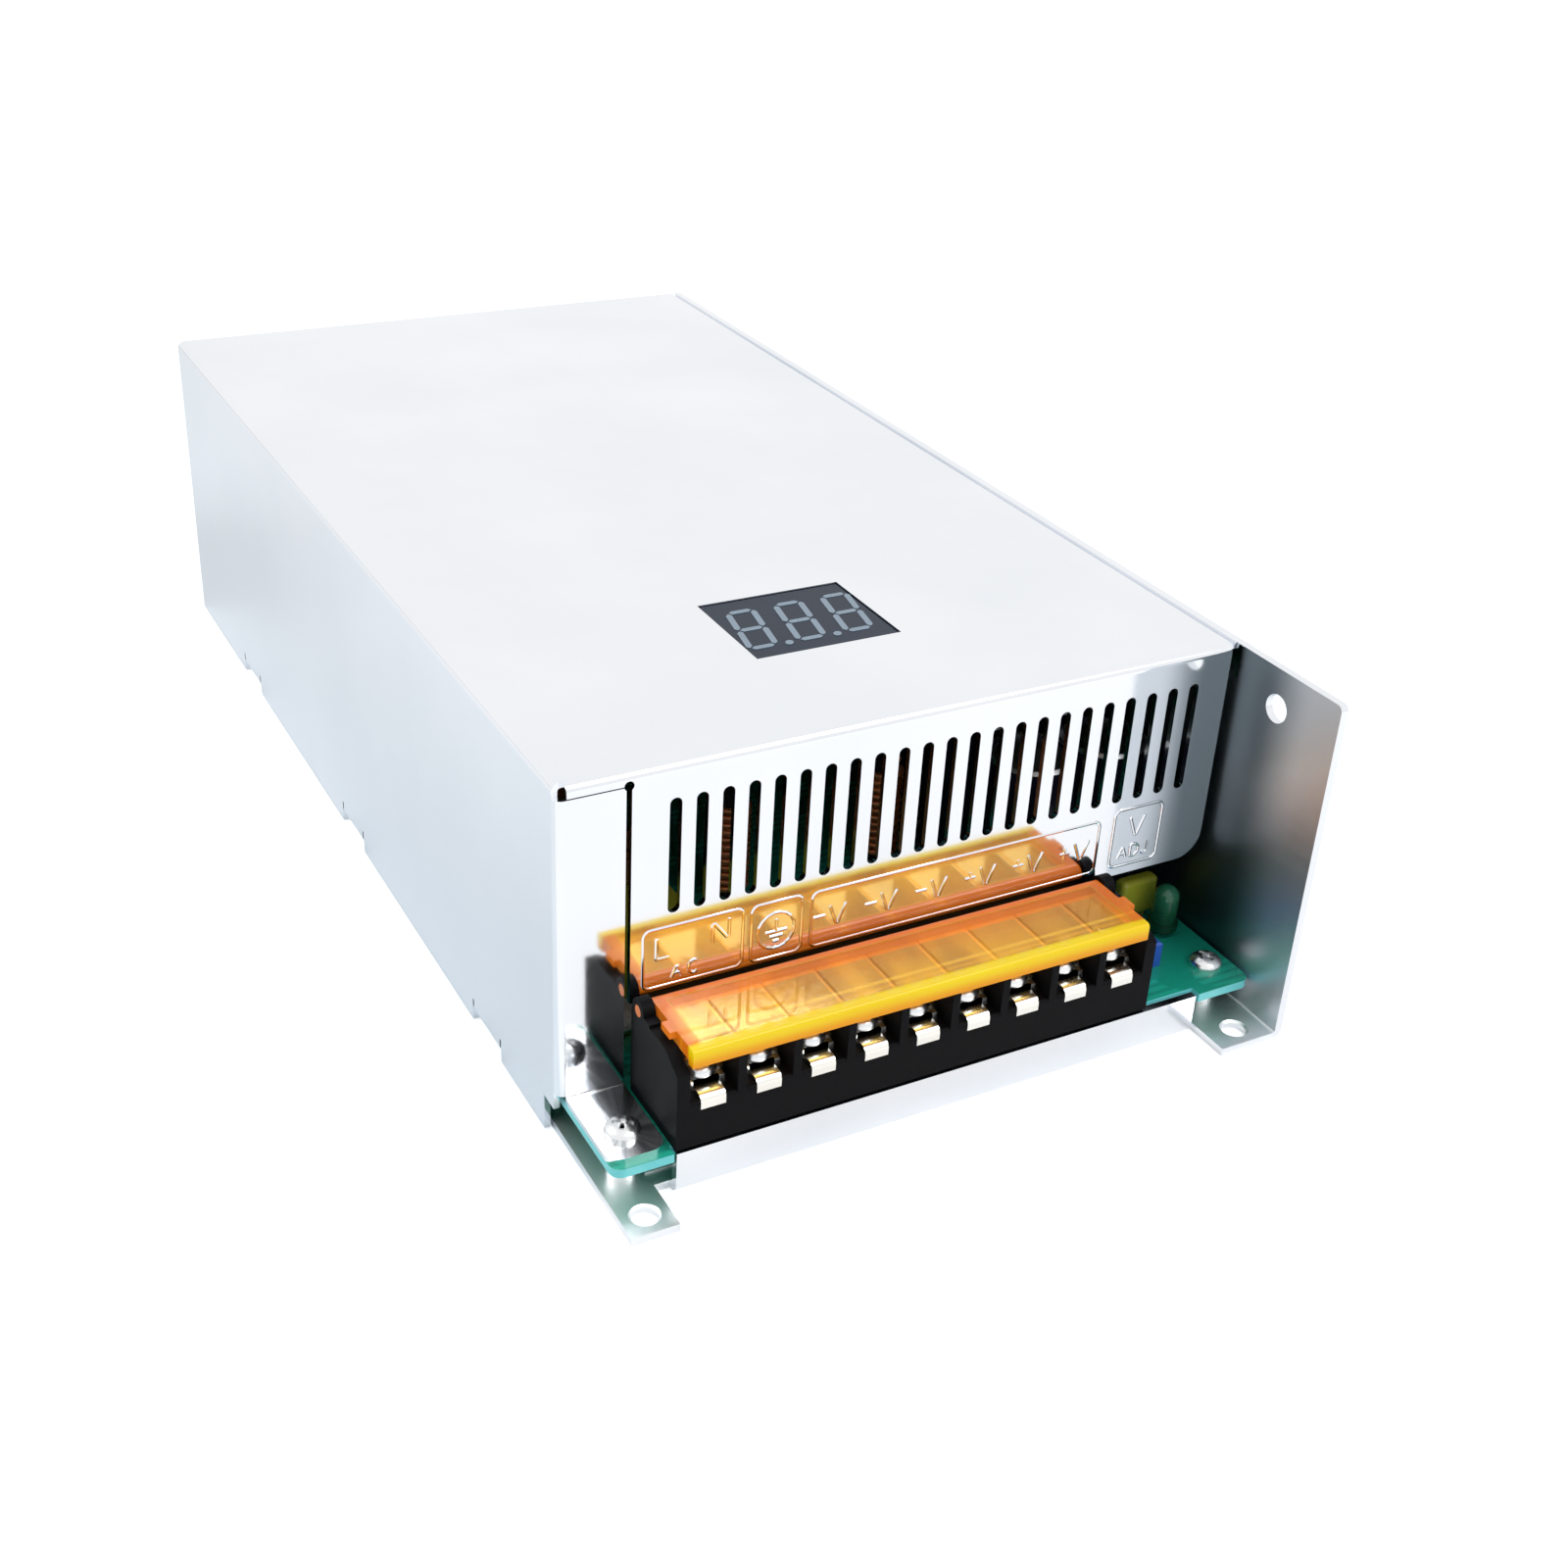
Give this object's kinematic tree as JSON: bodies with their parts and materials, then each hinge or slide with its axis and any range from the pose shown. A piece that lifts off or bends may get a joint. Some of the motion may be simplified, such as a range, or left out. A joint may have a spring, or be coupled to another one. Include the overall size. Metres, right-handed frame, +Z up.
{
  "type": "enclosed power supply",
  "caption": "Enclosed switching power supply: louvred folded metal case, hinged clear cover over a barrier terminal strip, small meter window in the top, fan in the rear.",
  "frame": {"origin": "middle of the footprint, on the underside", "axes": "+X to the right seen from the terminal end, +Y from the terminals to the fan, +Z up"},
  "size_m": [0.125, 0.245, 0.065],
  "materials": {
    "case_metal": "satin rolled sheet, slightly blue-white, sharp reflections on the front",
    "zinc_steel": "bright zinc",
    "clear_film": "milky polyester film",
    "board_green": "green solder mask with paler cut edges",
    "block_black": "black moulded plastic, fine texture",
    "tag_plate": "tinned, slightly warm",
    "lid_amber": "clear amber plastic",
    "trimmer_blue": "blue plastic",
    "trimmer_white": "off-white plastic",
    "lamp_green": "tinted green lens, unlit",
    "film_yellow": "yellow-green dipped resin",
    "display_dark": "dark face with unlit pale grey segments",
    "copper_wire": "enamelled copper wire",
    "ferrite": "dark grey ferrite",
    "ceramic_white": "white ceramic tube",
    "ceramic_dark": "dark green coating",
    "package_black": "black resin",
    "sleeve_dark": "dark shrink sleeve with a bare top",
    "winding_tape": "yellow tape over the bobbin",
    "bar_metal": "plain drawn bar"
  },
  "bodies": {
    "case": {"chassis": "case_metal", "cover": "case_metal", "mounting_nuts": "zinc_steel", "board_standoffs": "zinc_steel", "board_screws": "zinc_steel", "floor_screws": "zinc_steel", "side_screws": "zinc_steel", "meter_studs": "zinc_steel", "meter_nuts": "zinc_steel", "fan_screws": "zinc_steel", "fuse_clips": "zinc_steel", "clamp_screws": "zinc_steel", "insulating_sheet": "clear_film", "circuit_board": "board_green", "meter_board": "board_green", "control_board": "board_green", "terminal_block": "block_black", "fan_frame": "block_black", "terminal_tags": "tag_plate", "trimmer_body": "trimmer_blue", "indicator_lamp": "lamp_green", "corner_film_capacitor": "film_yellow", "line_film_capacitor": "film_yellow", "display_module": "display_dark", "fan_stator": "copper_wire", "line_choke_windings": "copper_wire", "rod_choke_windings": "copper_wire", "storage_choke_winding": "copper_wire", "line_choke_core": "ferrite", "rod_choke_cores": "ferrite", "transformer_core": "ferrite", "storage_choke_core": "ferrite", "input_fuse": "ceramic_white", "inrush_thermistor": "ceramic_dark", "bridge_rectifier": "package_black", "power_packages": "package_black", "drive_transformer": "package_black", "bulk_capacitors": "sleeve_dark", "output_capacitors": "sleeve_dark", "transformer_winding": "winding_tape", "clamp_bar": "bar_metal"},
    "terminal_cover": {"terminal_cover": "lid_amber"},
    "fan_rotor": {"fan_rotor": "block_black"},
    "trimmer_rotor": {"trimmer_rotor": "trimmer_white"},
    "terminal_screw_1": {"terminal_screw_1": "zinc_steel"},
    "terminal_screw_2": {"terminal_screw_2": "zinc_steel"},
    "terminal_screw_3": {"terminal_screw_3": "zinc_steel"},
    "terminal_screw_4": {"terminal_screw_4": "zinc_steel"},
    "terminal_screw_5": {"terminal_screw_5": "zinc_steel"},
    "terminal_screw_6": {"terminal_screw_6": "zinc_steel"},
    "terminal_screw_7": {"terminal_screw_7": "zinc_steel"},
    "terminal_screw_8": {"terminal_screw_8": "zinc_steel"},
    "terminal_screw_9": {"terminal_screw_9": "zinc_steel"}
  },
  "joints": [
    {"name": "terminal_cover_hinge", "type": "hinge", "parent": "case", "child": "terminal_cover", "pos_m": [-0.00635, -0.1005, 0.025], "axis": [-1, 0, 0], "range_deg": [0, 95]},
    {"name": "fan_spin", "type": "hinge", "parent": "case", "child": "fan_rotor", "pos_m": [0, 0.1085, 0.03275], "axis": [0, 1, 0], "continuous": true},
    {"name": "trimmer_turn", "type": "hinge", "parent": "case", "child": "trimmer_rotor", "pos_m": [0.0446, -0.1019, 0.0132], "axis": [0, 0, 1], "range_deg": [-135, 135]},
    {"name": "terminal_screw_1_lift", "type": "slide", "parent": "case", "child": "terminal_screw_1", "axis": [0, 0, 1], "range_m": [0, 0.003]},
    {"name": "terminal_screw_2_lift", "type": "slide", "parent": "case", "child": "terminal_screw_2", "axis": [0, 0, 1], "range_m": [0, 0.003]},
    {"name": "terminal_screw_3_lift", "type": "slide", "parent": "case", "child": "terminal_screw_3", "axis": [0, 0, 1], "range_m": [0, 0.003]},
    {"name": "terminal_screw_4_lift", "type": "slide", "parent": "case", "child": "terminal_screw_4", "axis": [0, 0, 1], "range_m": [0, 0.003]},
    {"name": "terminal_screw_5_lift", "type": "slide", "parent": "case", "child": "terminal_screw_5", "axis": [0, 0, 1], "range_m": [0, 0.003]},
    {"name": "terminal_screw_6_lift", "type": "slide", "parent": "case", "child": "terminal_screw_6", "axis": [0, 0, 1], "range_m": [0, 0.003]},
    {"name": "terminal_screw_7_lift", "type": "slide", "parent": "case", "child": "terminal_screw_7", "axis": [0, 0, 1], "range_m": [0, 0.003]},
    {"name": "terminal_screw_8_lift", "type": "slide", "parent": "case", "child": "terminal_screw_8", "axis": [0, 0, 1], "range_m": [0, 0.003]},
    {"name": "terminal_screw_9_lift", "type": "slide", "parent": "case", "child": "terminal_screw_9", "axis": [0, 0, 1], "range_m": [0, 0.003]}
  ]
}
